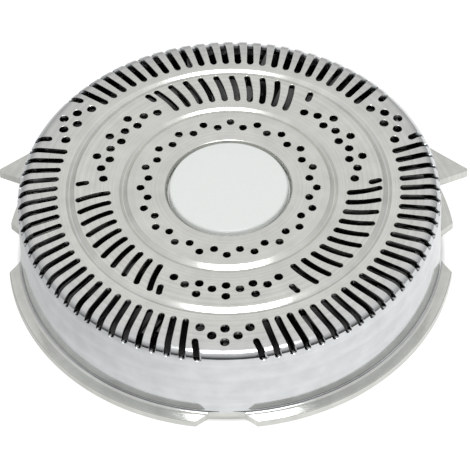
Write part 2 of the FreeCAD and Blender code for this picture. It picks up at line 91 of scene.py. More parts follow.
class Workbench:
    """The few hand operations that every piece is made with."""

    @staticmethod
    def clear_selection() -> None:
        """Leaves object mode with nothing selected."""
        if bpy.context.object and bpy.context.object.mode != "OBJECT":
            bpy.ops.object.mode_set(mode="OBJECT")
        bpy.ops.object.select_all(action="DESELECT")

    @staticmethod
    def pick(piece: bpy.types.Object) -> None:
        """Makes one object the only selected and active one."""
        Workbench.clear_selection()
        piece.select_set(True)
        bpy.context.view_layer.objects.active = piece

    @staticmethod
    def loop(name: str, points: list[Vector], filled: bool) -> bpy.types.Object:
        """Adds a ring of vertices and sets them on the points of an outline.

        Args:
            name: name of the new object.
            points: the outline's points in order, in metres.
            filled: whether the ring holds one face.

        Returns:
            The new object, at the origin.
        """
        Workbench.clear_selection()
        fill = "NGON" if filled else "NOTHING"
        bpy.ops.mesh.primitive_circle_add(vertices=len(points), radius=MM, fill_type=fill)
        ring = bpy.context.object
        ring.name = name
        for vertex, point in zip(ring.data.vertices, points):
            vertex.co = point
        return ring

    @staticmethod
    def prism(name: str, outline: list[Point], low: float, high: float) -> bpy.types.Object:
        """An upright solid over a flat outline.

        Args:
            name: name of the new object.
            outline: points across and along, in millimetres.
            low: height of its underside, in millimetres.
            high: height of its top, in millimetres.

        Returns:
            The closed solid.
        """
        points = [Vector((x, y, low)) * MM for x, y in outline]
        solid = Workbench.loop(name, points, True)
        bpy.ops.object.mode_set(mode="EDIT")
        bpy.ops.mesh.select_all(action="SELECT")
        move = {"value": (0, 0, (high - low) * MM)}
        bpy.ops.mesh.extrude_region_move(TRANSFORM_OT_translate=move)
        bpy.ops.mesh.select_all(action="SELECT")
        bpy.ops.mesh.normals_make_consistent(inside=False)
        bpy.ops.object.mode_set(mode="OBJECT")
        return solid

    @staticmethod
    def turned(name: str, section: list[Point], steps: int, closed: bool = True) -> bpy.types.Object:
        """A solid turned about the cutter's axis from a half section.

        Args:
            name: name of the new object.
            section: radius and height of each point, in millimetres.
            steps: how many flats the turn has.
            closed: whether the section is a ring; otherwise its ends lie on the axis.

        Returns:
            The closed solid.
        """
        points = [Vector((radius, 0, height)) * MM for radius, height in section]
        solid = Workbench.loop(name, points, False)
        bpy.ops.object.mode_set(mode="EDIT")
        if not closed:
            mesh = bmesh.from_edit_mesh(solid.data)
            seam = [edge for edge in mesh.edges if all(abs(v.co.x) < TINY for v in edge.verts)]
            bmesh.ops.delete(mesh, geom=seam, context="EDGES")
            bmesh.update_edit_mesh(solid.data)
        bpy.ops.object.mode_set(mode="OBJECT")
        turn = solid.modifiers.new("turn", "SCREW")
        turn.steps = steps
        turn.render_steps = steps
        turn.use_merge_vertices = True
        turn.merge_threshold = TINY
        bpy.ops.object.modifier_apply(modifier=turn.name)
        bpy.ops.object.mode_set(mode="EDIT")
        bpy.ops.mesh.select_all(action="SELECT")
        bpy.ops.mesh.normals_make_consistent(inside=False)
        bpy.ops.object.mode_set(mode="OBJECT")
        return solid

    @staticmethod
    def copies(name: str, source: bpy.types.Object, turns: list[float]) -> bpy.types.Object:
        """Copies a solid about the cutter's axis and joins the copies.

        Args:
            name: name of the joined object.
            source: the solid to copy, which is used up.
            turns: the angle of each copy, in radians.

        Returns:
            One object that holds all the copies.
        """
        made = []
        for turn in turns:
            copy = source.copy()
            copy.data = source.data.copy()
            copy.data.transform(Matrix.Rotation(turn, 4, "Z"))
            bpy.context.collection.objects.link(copy)
            made.append(copy)
        bpy.data.objects.remove(source)
        return Workbench.joined(name, made)

    @staticmethod
    def joined(name: str, solids: list[bpy.types.Object]) -> bpy.types.Object:
        """Joins several objects into the first of them."""
        Workbench.clear_selection()
        for solid in solids:
            solid.select_set(True)
        bpy.context.view_layer.objects.active = solids[0]
        bpy.ops.object.join()
        solids[0].name = name
        return solids[0]

    @staticmethod
    def combine(piece: bpy.types.Object, tool: bpy.types.Object, way: Solver) -> None:
        """Cuts a tool out of a piece or joins it on, and puts the tool away."""
        Workbench.pick(piece)
        step = piece.modifiers.new(tool.name, "BOOLEAN")
        step.operation = way.value
        step.solver = "MANIFOLD"
        step.object = tool
        bpy.ops.object.modifier_apply(modifier=step.name)
        bpy.data.objects.remove(tool)

    @staticmethod
    def smooth(piece: bpy.types.Object) -> None:
        """Smooth shading, except across sharp edges."""
        Workbench.pick(piece)
        bpy.ops.object.shade_smooth_by_angle(angle=math.radians(SMOOTH_ANGLE))


class Outline:
    """Outlines with rounded corners and arcs, in millimetres."""

    @staticmethod
    def rounded(corners: list[Bend], steps: int, closed: bool = True) -> list[Point]:
        """Rounds the corners of an outline.

        Args:
            corners: each corner's two places and the radius that it is rounded by.
            steps: how many chords a rounding has.
            closed: whether the outline comes back to its start.

        Returns:
            The points of the rounded outline.
        """
        points: list[Point] = []
        count = len(corners)
        for i, (x, y, radius) in enumerate(corners):
            is_end = not closed and i in (0, count - 1)
            if radius == 0 or is_end:
                points.append((x, y))
                continue
            corner = Vector((x, y))
            back = (Vector(corners[i - 1][:2]) - corner).normalized()
            ahead = (Vector(corners[(i + 1) % count][:2]) - corner).normalized()
            half = back.angle(ahead) / 2
            reach = radius / math.tan(half)
            centre = corner + (back + ahead).normalized() * (radius / math.sin(half))
            start = corner + back * reach - centre
            end = corner + ahead * reach - centre
            for step in range(steps + 1):
                spoke = start.slerp(end, step / steps).normalized() * radius
                points.append(tuple(centre + spoke))
        return points

    @staticmethod
    def at(radius: float, degrees: float, side: int = 1) -> Point:
        """A place at an angle from the front, on the right or the left."""
        angle = math.radians(degrees)
        return side * radius * math.sin(angle), -radius * math.cos(angle)


@dataclass
class CapSection:
    """The drawn sheet in half section, in millimetres; its height is read from the frame."""

    height: float
    wall_radius: float = 12.05
    inner_wall_radius: float = 11.7
    sheet: float = 0.3
    dish_radius: float = 3.6
    dish_depth: float = 0.35
    dish_draft: float = 0.1
    hole_radius: float = 1.4
    middle_drop: float = 0.08
    outer_drop: float = 0.16
    rim_drop: float = 0.38
    inner_groove: float = 5.98
    inner_groove_width: float = 0.48
    outer_groove: float = 9.02
    outer_groove_width: float = 0.52
    groove_floor: float = 0.06
    groove_lean: float = 0.05
    groove_depth: float = 0.13
    ridge_overhang: float = 0.12
    edge: float = 0.1
    rim: float = 0.8
    inner_rim: float = 0.35
    flange_radius: float = 12.8
    flange: float = 0.5
    foot: float = 0.25
    flange_edge: float = 0.07
    steps: int = 6

    def track(self, drop: float) -> float:
        """Height of a track that lies lower than the inner one."""
        return self.height - drop

    def groove(self, radius: float, width: float, inside: float, outside: float) -> list[Bend]:
        """The four corners of a groove's channel, from the inside out."""
        floor = outside - self.groove_depth
        return [
            (radius - width / 2, inside, self.edge),
            (radius + self.groove_lean - self.groove_floor / 2, floor, self.edge / 2),
            (radius + self.groove_lean + self.groove_floor / 2, floor, self.edge / 2),
            (radius + width / 2, outside, self.edge),
        ]

    def face(self) -> list[Bend]:
        """The corners of the shaving face, from the dish to the outer track's start."""
        top = self.height
        floor = top - self.dish_depth
        middle = self.track(self.middle_drop)
        outer = self.track(self.outer_drop)
        corners = [
            (self.hole_radius, floor, 0.0),
            (self.dish_radius - self.dish_draft, floor, self.edge / 2),
            (self.dish_radius, top, self.edge),
        ]
        corners += self.groove(self.inner_groove, self.inner_groove_width, top, middle)
        corners += self.groove(self.outer_groove, self.outer_groove_width, middle, outer)
        return corners

    def underside(self) -> list[Bend]:
        """The corners of the sheet's underside, from the wall in to the stub's hole."""
        top = self.height - self.sheet
        middle = top - self.middle_drop
        outer = top - self.outer_drop
        spread = 2 * self.ridge_overhang
        ridges = self.groove(self.inner_groove, self.inner_groove_width + spread, top, middle)
        ridges += self.groove(self.outer_groove, self.outer_groove_width + spread, middle, outer)
        inner = self.dish_radius + self.sheet
        return [
            (self.inner_wall_radius, top - self.rim_drop, self.inner_rim),
            *reversed(ridges),
            (inner, top, self.edge),
            (inner - self.dish_draft, top - self.dish_depth, self.edge / 2),
            (self.hole_radius, top - self.dish_depth, 0.0),
        ]

    def rim_corner(self) -> Bend:
        """Where the outer track would meet the wall, and the rim's rounding."""
        return self.wall_radius, self.height - self.rim_drop, self.rim

    def wall(self) -> list[Bend]:
        """The corners of the rim, wall and flange."""
        return [
            self.rim_corner(),
            (self.wall_radius, self.flange, self.foot),
            (self.flange_radius, self.flange, self.flange_edge),
            (self.flange_radius, 0.0, self.flange_edge),
            (self.inner_wall_radius, 0.0, self.flange_edge),
        ]

    def outline(self) -> list[Point]:
        """The whole rounded half section."""
        return Outline.rounded(self.face() + self.wall() + self.underside(), self.steps)

    def outside(self) -> list[Point]:
        """The rounded line of the cap's outside, from the dish to the flange's underside."""
        return Outline.rounded(self.face() + self.wall(), self.steps, closed=False)

    def walk(self, start: Point, end_height: float) -> list[Point]:
        """The line that an outer slot follows: along the outer track and round the rim, down to a height."""
        way = [(*start, 0.0), self.rim_corner(), (self.wall_radius, self.flange, 0.0)]
        line = Outline.rounded(way, 2 * self.steps, closed=False)
        kept = [point for point in line if point[1] > end_height]
        after = Vector(line[len(kept)])
        share = (end_height - kept[-1][1]) / (after.y - kept[-1][1])
        return kept + [tuple(Vector(kept[-1]).lerp(after, share))]

    def outer_height(self, radius: float) -> float:
        """Height of the outer track at a radius."""
        inside = self.outer_groove + self.outer_groove_width / 2
        share = (radius - inside) / (self.wall_radius - inside)
        return self.height - self.outer_drop - share * (self.rim_drop - self.outer_drop)


@dataclass
class Opening:
    """A hole or slot: the line that it follows, its width and depth, and how it leans and curves."""

    name: str
    line: list[Point]
    width: float
    lean: float = 0.0
    curve: float = 1.0
    depth: float = 0.46
    flare: float = 0.02
    above: float = 0.25
    sides: int = 16
    stations: int = 1
    upward: float = 0.5

    def lengths(self) -> list[float]:
        """How far along its line each point lies."""
        total = [0.0]
        for before, after in zip(self.line, self.line[1:]):
            total.append(total[-1] + math.dist(before, after))
        return total

    def place(self, along: float) -> tuple[Vector, Vector]:
        """The point of the line at a length, and the sheet's outward normal there."""
        total = self.lengths()
        count = len(self.line)
        i = max(j for j in range(count - 1) if j == 0 or total[j] <= along)
        before = Vector(self.line[i])
        after = Vector(self.line[i + 1])
        step = (after - before).normalized()
        return before + step * (along - total[i]), Vector((-step.y, step.x))

    def straight(self, length: float) -> bpy.types.Object:
        """The tool before it is bent: a round punch with a flared mouth, drawn out to its length."""
        Workbench.clear_selection()
        bpy.ops.mesh.primitive_cylinder_add(
            vertices=self.sides,
            radius=self.width / 2 * MM,
            depth=self.depth * MM,
            location=(0, 0, -self.depth / 2 * MM),
        )
        bpy.ops.object.transform_apply()
        tool = bpy.context.object
        tool.name = self.name
        bpy.ops.object.mode_set(mode="EDIT")
        mesh = bmesh.from_edit_mesh(tool.data)
        for face in mesh.faces:
            face.select_set(face.normal.z > self.upward)
        bmesh.update_edit_mesh(tool.data)
        bpy.ops.transform.translate(value=(0, 0, -self.flare * MM))
        for rise, growth in ((self.flare, self.flare), (self.above, self.above)):
            bpy.ops.mesh.extrude_region_move(TRANSFORM_OT_translate={"value": (0, 0, rise * MM)})
            wide = max(vertex.co.x for vertex in mesh.verts) / MM
            scale = (wide + growth) / wide
            bpy.ops.transform.resize(value=(scale, scale, 1))
        mesh = bmesh.from_edit_mesh(tool.data)
        for vertex in mesh.verts:
            vertex.select_set(vertex.co.x > TINY)
        mesh.select_flush_mode()
        bmesh.update_edit_mesh(tool.data)
        if length > 0:
            bpy.ops.transform.translate(value=(length * MM, 0, 0))
        for station in range(1, self.stations):
            bpy.ops.mesh.select_all(action="SELECT")
            place = length * station / self.stations * MM
            bpy.ops.mesh.bisect(plane_co=(place, 0, 0), plane_no=(1, 0, 0))
        bpy.ops.object.mode_set(mode="OBJECT")
        return tool

    def made(self) -> bpy.types.Object:
        """The tool, bent along its line in the sheet and pointing along +X."""
        inset = self.width / 2
        length = self.lengths()[-1] - 2 * inset
        tool = self.straight(length)
        start = self.line[0][0]
        end = max(point[0] for point in self.line)
        for vertex in tool.data.vertices:
            along, across, rise = vertex.co / MM
            spot, normal = self.place(along + inset)
            spot = spot + normal * rise
            share = (spot.x - start) / (end - start)
            turn = math.copysign(abs(share) ** self.curve, share) * self.lean
            steepness = self.lean * self.curve * abs(share) ** (self.curve - 1)
            slope = math.atan(steepness * spot.x / (end - start))
            side = Vector((-math.sin(turn + slope), math.cos(turn + slope), 0)) * across
            vertex.co = (Vector((spot.x * math.cos(turn), spot.x * math.sin(turn), spot.y)) + side) * MM
        return tool

    def around(self, first: float, pitch: float, count: int, groups: int = 1) -> bpy.types.Object:
        """Rows of this opening about the axis.

        Args:
            first: angle of the first one of a row, in degrees.
            pitch: angle between neighbours, in degrees.
            count: how many a row has.
            groups: how many rows come round in a full turn.

        Returns:
            All the openings as one object.
        """
        turns = [
            math.radians(first + item * pitch) + group * FULL_TURN / groups
            for group in range(groups)
            for item in range(count)
        ]
        return Workbench.copies(self.name, self.made(), turns)


@dataclass
class HoleRow:
    """A row of round holes: its radius, how many it has, and its pitch in degrees."""

    radius: float
    count: int
    pitch: float


@dataclass
class ShavingCap:
    """The drawn steel cap with its tracks, openings, flange and tabs, in millimetres and degrees."""

    section: CapSection
    turn_steps: int = 360
    groups: int = 3
    inner_rows: tuple[HoleRow, ...] = (HoleRow(4.63, 20, 18.0), HoleRow(5.0, 20, 18.0))
    inner_width: float = 0.45
    middle_rows: tuple[HoleRow, ...] = (
        HoleRow(7.18, 5, 12.0),
        HoleRow(7.46, 4, 12.0),
        HoleRow(7.96, 3, 12.0),
    )
    middle_width: float = 0.49
    outer_rows: tuple[HoleRow, ...] = (
        HoleRow(10.17, 3, 7.8),
        HoleRow(10.66, 2, 7.8),
        HoleRow(11.08, 1, 7.8),
    )
    outer_width: float = 0.53
    middle_slots: int = 10
    middle_pitch: float = 6.04
    middle_start: float = 6.7
    middle_short: float = 7.95
    middle_end: float = 8.7
    middle_slot_width: float = 0.36
    middle_lean: float = 3.4
    middle_curve: float = 1.45
    middle_stations: int = 8
    outer_slots: int = 24
    outer_pitch: float = 4.1
    outer_start: float = 9.72
    outer_short: float = 10.95
    outer_low: float = 0.95
    outer_slot_width: float = 0.38
    outer_lean: float = 1.4
    outer_stations: int = 24
    notch_floor: float = 12.12
    front_notch_floor: float = 4.8
    front_notch_mouth: float = 12.2
    side_notch_floor: Point = (85.5, 96.0)
    side_notch_mouth: Point = (77.5, 101.5)
    shoulder: float = 12.92
    shoulder_start: float = 85.5
    tab_front: float = 113.5
    tab_tip: Bend = (15.06, 113.5, 0.15)
    tab_back: Bend = (13.75, 125.4, 1.0)
    tab_root: float = 132.0
    tab_edge: float = 0.063
    tab_edge_steps: int = 2
    tab_edge_start: float = 0.2
    cut_margin: float = 1.0
    bare_depth: float = 0.14
    depth_digits: int = 2

    def holes(self) -> list[bpy.types.Object]:
        """The tools for all the round holes."""
        section = self.section
        tools = []
        tracks = (
            ("inner_holes", self.inner_rows, self.inner_width, 1, self.inner_height),
            ("middle_holes", self.middle_rows, self.middle_width, self.groups, self.middle_height),
            ("outer_holes", self.outer_rows, self.outer_width, self.groups, section.outer_height),
        )
        for name, rows, width, groups, height in tracks:
            for number, row in enumerate(rows):
                ends = (row.radius - width / 2, row.radius + width / 2)
                line = [(end, height(end)) for end in ends]
                hole = Opening(f"{name}_{number}", line, width)
                first = math.degrees(FRONT) - (row.count - 1) / 2 * row.pitch
                if groups == 1:
                    first = math.degrees(FRONT) + (row.pitch / 2 if number == 0 else 0.0)
                tools.append(hole.around(first, row.pitch, row.count, groups))
        return tools

    def inner_height(self, radius: float) -> float:
        """Height of the flat inner track, the same at every radius."""
        return self.section.height

    def middle_height(self, radius: float) -> float:
        """Height of the flat middle track, the same at every radius."""
        return self.section.track(self.section.middle_drop)

    def middle_slot(self, name: str, start: float) -> Opening:
        """A slot of the middle track, which curves as it leans; a short one leans less."""
        height = self.section.track(self.section.middle_drop)
        share = (self.middle_end - start) / (self.middle_end - self.middle_start)
        lean = math.radians(self.middle_lean) * share
        line = [(start, height), (self.middle_end, height)]
        width = self.middle_slot_width
        return Opening(name, line, width, lean, self.middle_curve, stations=self.middle_stations)

    def outer_slot(self, name: str, start: float) -> Opening:
        """A slot of the outer track, which runs on round the rim into the wall."""
        section = self.section
        line = section.walk((start, section.outer_height(start)), section.height - self.outer_low)
        lean = math.radians(self.outer_lean)
        return Opening(name, line, self.outer_slot_width, lean, stations=self.outer_stations)

    def row(self, full: Opening, short: Opening, count: int, pitch: float) -> list[bpy.types.Object]:
        """Rows of slots, each centred between two groups of holes.

        Args:
            full: the slot that the row is made of.
            short: the slot that stands once at each end.
            count: how many full slots a row has.
            pitch: angle between neighbours, in degrees.

        Returns:
            The tools for the full and the short slots of every row.
        """
        centre = math.degrees(FRONT) + 180 / self.groups
        return [
            full.around(centre - (count - 1) / 2 * pitch, pitch, count, self.groups),
            short.around(centre - (count + 1) / 2 * pitch, (count + 1) * pitch, 2, self.groups),
        ]

    def slots(self) -> list[bpy.types.Object]:
        """The tools for all the slots, full ones and the short one at each end of a row."""
        middle = (
            self.middle_slot("middle_full", self.middle_start),
            self.middle_slot("middle_short", self.middle_short),
        )
        outer = (
            self.outer_slot("outer_full", self.outer_start),
            self.outer_slot("outer_short", self.outer_short),
        )
        return [
            *self.row(*middle, self.middle_slots, self.middle_pitch),
            *self.row(*outer, self.outer_slots, self.outer_pitch),
        ]

    def tab(self, side: int) -> bpy.types.Object:
        """The pointed tab on one side of the flange, with the shoulder in front of it."""
        section = self.section
        steps = 2 * section.steps
        clear = section.wall_radius + self.tab_edge_start
        sweep = self.tab_front - self.shoulder_start
        angles = [self.shoulder_start + sweep * step / steps for step in range(steps + 1)]
        corners = [
            (*Outline.at(section.wall_radius, self.shoulder_start, side), 0.0),
            *((*Outline.at(self.shoulder, angle, side), 0.0) for angle in angles),
            (*Outline.at(*self.tab_tip[:2], side), self.tab_tip[2]),
            (*Outline.at(*self.tab_back[:2], side), self.tab_back[2]),
            (*Outline.at(section.flange_radius - section.flange_edge, self.tab_root, side), 0.0),
            (*Outline.at(section.wall_radius, self.tab_root, side), 0.0),
        ]
        name = "right_tab" if side > 0 else "left_tab"
        tab = Workbench.prism(name, Outline.rounded(corners, section.steps), 0.0, section.flange)
        bpy.ops.object.mode_set(mode="EDIT")
        mesh = bmesh.from_edit_mesh(tab.data)
        for edge in mesh.edges:
            flat = abs(edge.verts[0].co.z - edge.verts[1].co.z) < TINY
            outside = all(math.hypot(v.co.x, v.co.y) > clear * MM for v in edge.verts)
            edge.select_set(flat and outside)
        bmesh.update_edit_mesh(tab.data)
        bpy.ops.mesh.bevel(offset=self.tab_edge * MM, segments=self.tab_edge_steps, affect="EDGES")
        bpy.ops.object.mode_set(mode="OBJECT")
        return tab

    def notches(self) -> list[bpy.types.Object]:
        """The tools for the notches in the front and the two sides of the flange."""
        outside = self.shoulder + self.cut_margin
        floor = self.notch_floor
        outlines = [
            [
                Outline.at(floor, self.front_notch_floor, -1),
                Outline.at(outside, self.front_notch_mouth, -1),
                Outline.at(outside, self.front_notch_mouth),
                Outline.at(floor, self.front_notch_floor),
            ]
        ]
        for side in (1, -1):
            outlines.append(
                [
                    Outline.at(floor, self.side_notch_floor[0], side),
                    Outline.at(outside, self.side_notch_mouth[0], side),
                    Outline.at(outside, self.side_notch_mouth[1], side),
                    Outline.at(floor, self.side_notch_floor[1], side),
                ]
            )
        top = self.section.flange + 2 * self.section.foot
        return [
            Workbench.prism(f"notch_{number}", outline, -self.cut_margin, top)
            for number, outline in enumerate(outlines)
        ]

    def mark_depth(self, cap: bpy.types.Object) -> None:
        """Stores how deep each vertex lies behind the cap's outside, for the painted shade inside the cap.
        """
        attribute = cap.data.attributes.new(DEPTH, "FLOAT", "POINT")
        line = self.section.outside()
        known: dict[Point, float] = {}
        for vertex in cap.data.vertices:
            spot = Vector((math.hypot(vertex.co.x, vertex.co.y), vertex.co.z)) / MM
            key = (round(spot.x, self.depth_digits), round(spot.y, self.depth_digits))
            if key not in known:
                known[key] = self.depth(spot, line)
            attribute.data[vertex.index].value = known[key]

    def depth(self, spot: Vector, line: list[Point]) -> float:
        """How deep a spot of the half section lies behind the outside; below the slots it stays shallow, so
        the painted shade stays light there.
        """
        if spot.x >= self.section.wall_radius:
            return 0.0
        depth = min(self.gap(spot, *ends) for ends in zip(line, line[1:]))
        below_slots = spot.y < self.section.height - self.outer_low - self.section.sheet
        return min(depth, self.bare_depth) if below_slots else depth

    @staticmethod
    def gap(spot: Vector, start: Point, end: Point) -> float:
        """Distance from a spot to one straight stretch of a line, in millimetres."""
        base = Vector(start)
        run = Vector(end) - base
        share = min(1.0, max(0.0, (spot - base).dot(run) / run.length_squared))
        return (spot - base - run * share).length

    def build(self) -> bpy.types.Object:
        """The finished cap."""
        cap = Workbench.turned("cap_shell", self.section.outline(), self.turn_steps)
        for side in (1, -1):
            Workbench.combine(cap, self.tab(side), Solver.JOIN)
        tools = self.notches() + self.holes() + self.slots()
        Workbench.combine(cap, Workbench.joined("openings", tools), Solver.CUT)
        Workbench.smooth(cap)
        self.mark_depth(cap)
        return cap


@dataclass
class CentreDisc:
    """The white disc in the cap's dished centre, in millimetres."""

    radius: float
    top: float
    floor: float
    edge: float = 0.16
    inner_edge: float = 0.05
    crown: float = 0.03
    crown_share: float = 0.6
    crown_start: float = 0.01
    crown_bend: float = 2.0
    steps: int = 6
    turn_steps: int = 180
    stub: float = 1.35
    stake: float = 1.9
    stake_top: float = 5.2
    stake_low: float = 4.9
    pin: float = 1.1
    pin_low: float = 3.1
    pin_lead: float = 0.2

    def build(self) -> bpy.types.Object:
        """The disc, turned from its half section."""
        corners = [
            (0.0, self.top, 0.0),
            (self.radius * self.crown_share, self.top - self.crown_start, self.crown_bend),
            (self.radius, self.top - self.crown, self.edge),
            (self.radius, self.floor, self.inner_edge),
            (self.stub, self.floor, 0.0),
            (self.stub, self.stake_top, 0.0),
            (self.stake, self.stake_top, self.inner_edge),
            (self.stake, self.stake_low, self.inner_edge),
            (self.pin, self.stake_low, self.inner_edge),
            (self.pin, self.pin_low, self.pin_lead),
            (0.0, self.pin_low, 0.0),
        ]
        section = Outline.rounded(corners, self.steps, closed=False)
        disc = Workbench.turned("disc_button", section, self.turn_steps, closed=False)
        Workbench.smooth(disc)
        return disc


class Wiring:
    """Shader nodes that are set, given their constants and linked in one go."""

    NUMBER_A, NUMBER_B = 2, 3
    COLOUR_A, COLOUR_B, COLOUR_OUT = 6, 7, 2

    def __init__(self, tree: bpy.types.NodeTree) -> None:
        """Takes the tree that the nodes go into."""
        self.tree = tree

    def add(self, kind: str, inputs: dict[int | str, Source] | None = None) -> bpy.types.Node:
        """Adds a node and fills its sockets.

        Args:
            kind: the node's type.
            inputs: for each socket a constant, or the output that is linked to it.

        Returns:
            The new node.
        """
        node = self.tree.nodes.new(kind)
        self.fill(node, inputs or {})
        return node

    def fill(self, node: bpy.types.Node, inputs: dict[int | str, Source]) -> None:
        """Fills a node's sockets with constants or with other nodes' outputs."""
        for socket, source in inputs.items():
            if isinstance(source, bpy.types.NodeSocket):
                self.tree.links.new(source, node.inputs[socket])
            else:
                node.inputs[socket].default_value = source

    def number(self, operation: str, *terms: Source) -> bpy.types.NodeSocket:
        """A number worked out from others."""
        node = self.add("ShaderNodeMath")
        node.operation = operation
        self.fill(node, dict(enumerate(terms)))
        return node.outputs[0]

    def vector(self, operation: str, inputs: dict[int | str, Source]) -> bpy.types.NodeSocket:
        """A vector or colour worked out from others."""
        node = self.add("ShaderNodeVectorMath")
        node.operation = operation
        self.fill(node, inputs)
        return node.outputs["Vector"]

    def length(self, vector: Source) -> bpy.types.NodeSocket:
        """The length of a vector."""
        node = self.add("ShaderNodeVectorMath")
        node.operation = "LENGTH"
        self.fill(node, {0: vector})
        return node.outputs["Value"]

    def spread(
        self, value: Source, before: Point, after: Point = (0.0, 1.0), soft: bool = False
    ) -> bpy.types.NodeSocket:
        """A number carried over from one range to another.

        Args:
            value: the number.
            before: the range that it comes from.
            after: the range that it is carried to.
            soft: whether it starts and ends gently.

        Returns:
            The output with the new number.
        """
        node = self.add("ShaderNodeMapRange")
        node.interpolation_type = "SMOOTHSTEP" if soft else "LINEAR"
        ends = {"From Min": before[0], "From Max": before[1], "To Min": after[0], "To Max": after[1]}
        self.fill(node, {"Value": value, **ends})
        return node.outputs[0]

    def colour_between(self, share: Source, first: Source, second: Source) -> bpy.types.NodeSocket:
        """A colour between two others."""
        node = self.add("ShaderNodeMix")
        node.data_type = "RGBA"
        self.fill(node, {"Factor": share, self.COLOUR_A: first, self.COLOUR_B: second})
        return node.outputs[self.COLOUR_OUT]

    def number_between(self, share: Source, first: Source, second: Source) -> bpy.types.NodeSocket:
        """A number between two others."""
        inputs = {"Factor": share, self.NUMBER_A: first, self.NUMBER_B: second}
        return self.add("ShaderNodeMix", inputs).outputs[0]

    def noise(self, place: Source, scale: float, detail: float) -> bpy.types.NodeSocket:
        """Soft noise over a place."""
        inputs = {"Vector": place, "Scale": scale, "Detail": detail}
        return self.add("ShaderNodeTexNoise", inputs).outputs["Fac"]

    def relief(self, height: Source, strength: float, distance: float) -> bpy.types.NodeSocket:
        """The surface's direction with a fine relief on it."""
        inputs = {"Height": height, "Strength": strength, "Distance": distance}
        return self.add("ShaderNodeBump", inputs).outputs[0]


@dataclass(frozen=True)
class Finish:
    """A material built from shader nodes on the piece's own coordinates."""

    name: str
    colour: Colour
    roughness: float

    def start(self) -> tuple[bpy.types.Material, Wiring, bpy.types.ShaderNode]:
        """A new material with its shader, whose constants are set on its own sockets."""
        material = bpy.data.materials.new(self.name)
        material.use_nodes = True
        tree = material.node_tree
        shader = tree.nodes["Principled BSDF"]
        shader.inputs["Base Color"].default_value = (*self.colour, 1)
        shader.inputs["Roughness"].default_value = self.roughness
        return material, Wiring(tree), shader

    def shades(self, spread: float) -> tuple[tuple[float, ...], tuple[float, ...]]:
        """A darker and a lighter shade of the colour."""
        darker = (*(value * (1 - spread) for value in self.colour), 1)
        lighter = (*(min(1.0, value * (1 + spread)) for value in self.colour), 1)
        return darker, lighter

    def build(self) -> bpy.types.Material:
        """The material in one plain colour."""
        return self.start()[0]


@dataclass(frozen=True)
class SteelFinish(Finish):
    """Steel with fine marks that run round the axis and soft cloudy patches, tinted in zones by height and
    darkened with painted shade deep inside the cap.

    Heights and relief are in metres. The range of depths is in millimetres, as the depth attribute is.
    """

    mark_scale: float = 9000.0
    mark_detail: float = 2.0
    cloud_scale: float = 900.0
    cloud_detail: float = 4.0
    mottling: Point = (0.5, 1.5)
    colour_spread: float = 0.17
    roughness_spread: float = 0.12
    # How dark the painted shade deep inside the cap gets, and over which depths, in millimetres, it comes
    # in.
    inside_shade_tone: float = 0.12
    inside_shade_range: Point = (0.08, 0.24)
    wall_marks: float = 0.15
    change_height: float = 0.00565
    change_fade: float = 0.0003
    upper_tint: Colour = (1.0, 1.0, 1.0)
    lower_tint: Colour = (0.9, 0.92, 0.98)
    lower_polish: float = 0.1
    foot_height: float = 0.00052
    foot_fade: float = 0.00005
    foot_tint: Colour = (0.88, 0.89, 0.885)
    relief: float = 0.0000008
    relief_strength: float = 0.5

    def marks(self, wiring: Wiring, place: Source, height: Source) -> bpy.types.NodeSocket:
        """Turning marks: noise that changes with the radius and, slowly, with the height."""
        radius = wiring.length(wiring.vector("MULTIPLY", {0: place, 1: (1, 1, 0)}))
        rise = wiring.number("MULTIPLY", height, self.wall_marks)
        rings = wiring.add("ShaderNodeCombineXYZ", {"X": radius, "Y": rise}).outputs[0]
        return wiring.noise(rings, self.mark_scale, self.mark_detail)

    def zones(self, wiring: Wiring, height: Source, low: Source) -> bpy.types.NodeSocket:
        """The tint at a height: that of the face, the wall or the foot."""
        upper = wiring.colour_between(low, (*self.upper_tint, 1), (*self.lower_tint, 1))
        foot = wiring.spread(height, (self.foot_height + self.foot_fade, self.foot_height))
        return wiring.colour_between(foot, upper, (*self.foot_tint, 1))

    def build(self) -> bpy.types.Material:
        """The steel as a material."""
        material, wiring, shader = self.start()
        shader.inputs["Metallic"].default_value = 1.0
        place = wiring.add("ShaderNodeTexCoord").outputs["Object"]
        height = wiring.add("ShaderNodeSeparateXYZ", {0: place}).outputs["Z"]
        marks = self.marks(wiring, place, height)
        clouds = wiring.noise(place, self.cloud_scale, self.cloud_detail)
        tone = wiring.spread(wiring.number("ADD", marks, clouds), self.mottling)
        low = wiring.spread(height, (self.change_height, self.change_height - self.change_fade))
        mottled = wiring.colour_between(tone, *self.shades(self.colour_spread))
        zoned = wiring.vector("MULTIPLY", {0: mottled, 1: self.zones(wiring, height, low)})
        # Painted shade: the colour darkens with the depth behind the cap's outside, where the slots look in.
        inside = wiring.add("ShaderNodeAttribute")
        inside.attribute_name = DEPTH
        painted_inside_shade = wiring.spread(inside.outputs["Fac"], self.inside_shade_range, (1.0, self.inside_shade_tone), soft=True)
        half = self.roughness_spread / 2
        gloss = wiring.spread(clouds, (0.0, 1.0), (self.roughness - half, self.roughness + half))
        inputs = {
            "Base Color": wiring.vector("SCALE", {0: zoned, "Scale": painted_inside_shade}),
            "Roughness": wiring.number("MULTIPLY_ADD", low, -self.lower_polish, gloss),
            "Normal": wiring.relief(marks, self.relief_strength, self.relief),
        }
        wiring.fill(shader, inputs)
        return material


@dataclass(frozen=True)
class InnerSteel(SteelFinish):
    """Steel of the pieces under the cap, dark near the openings, where little light comes in."""

    change_height: float = 0.0042
    change_fade: float = 0.001
    # Painted shade: the upper parts, near the openings, are darkened to about a third.
    upper_tint: Colour = (0.32, 0.32, 0.32)
    lower_tint: Colour = (1.0, 1.0, 1.0)
    lower_polish: float = 0.0


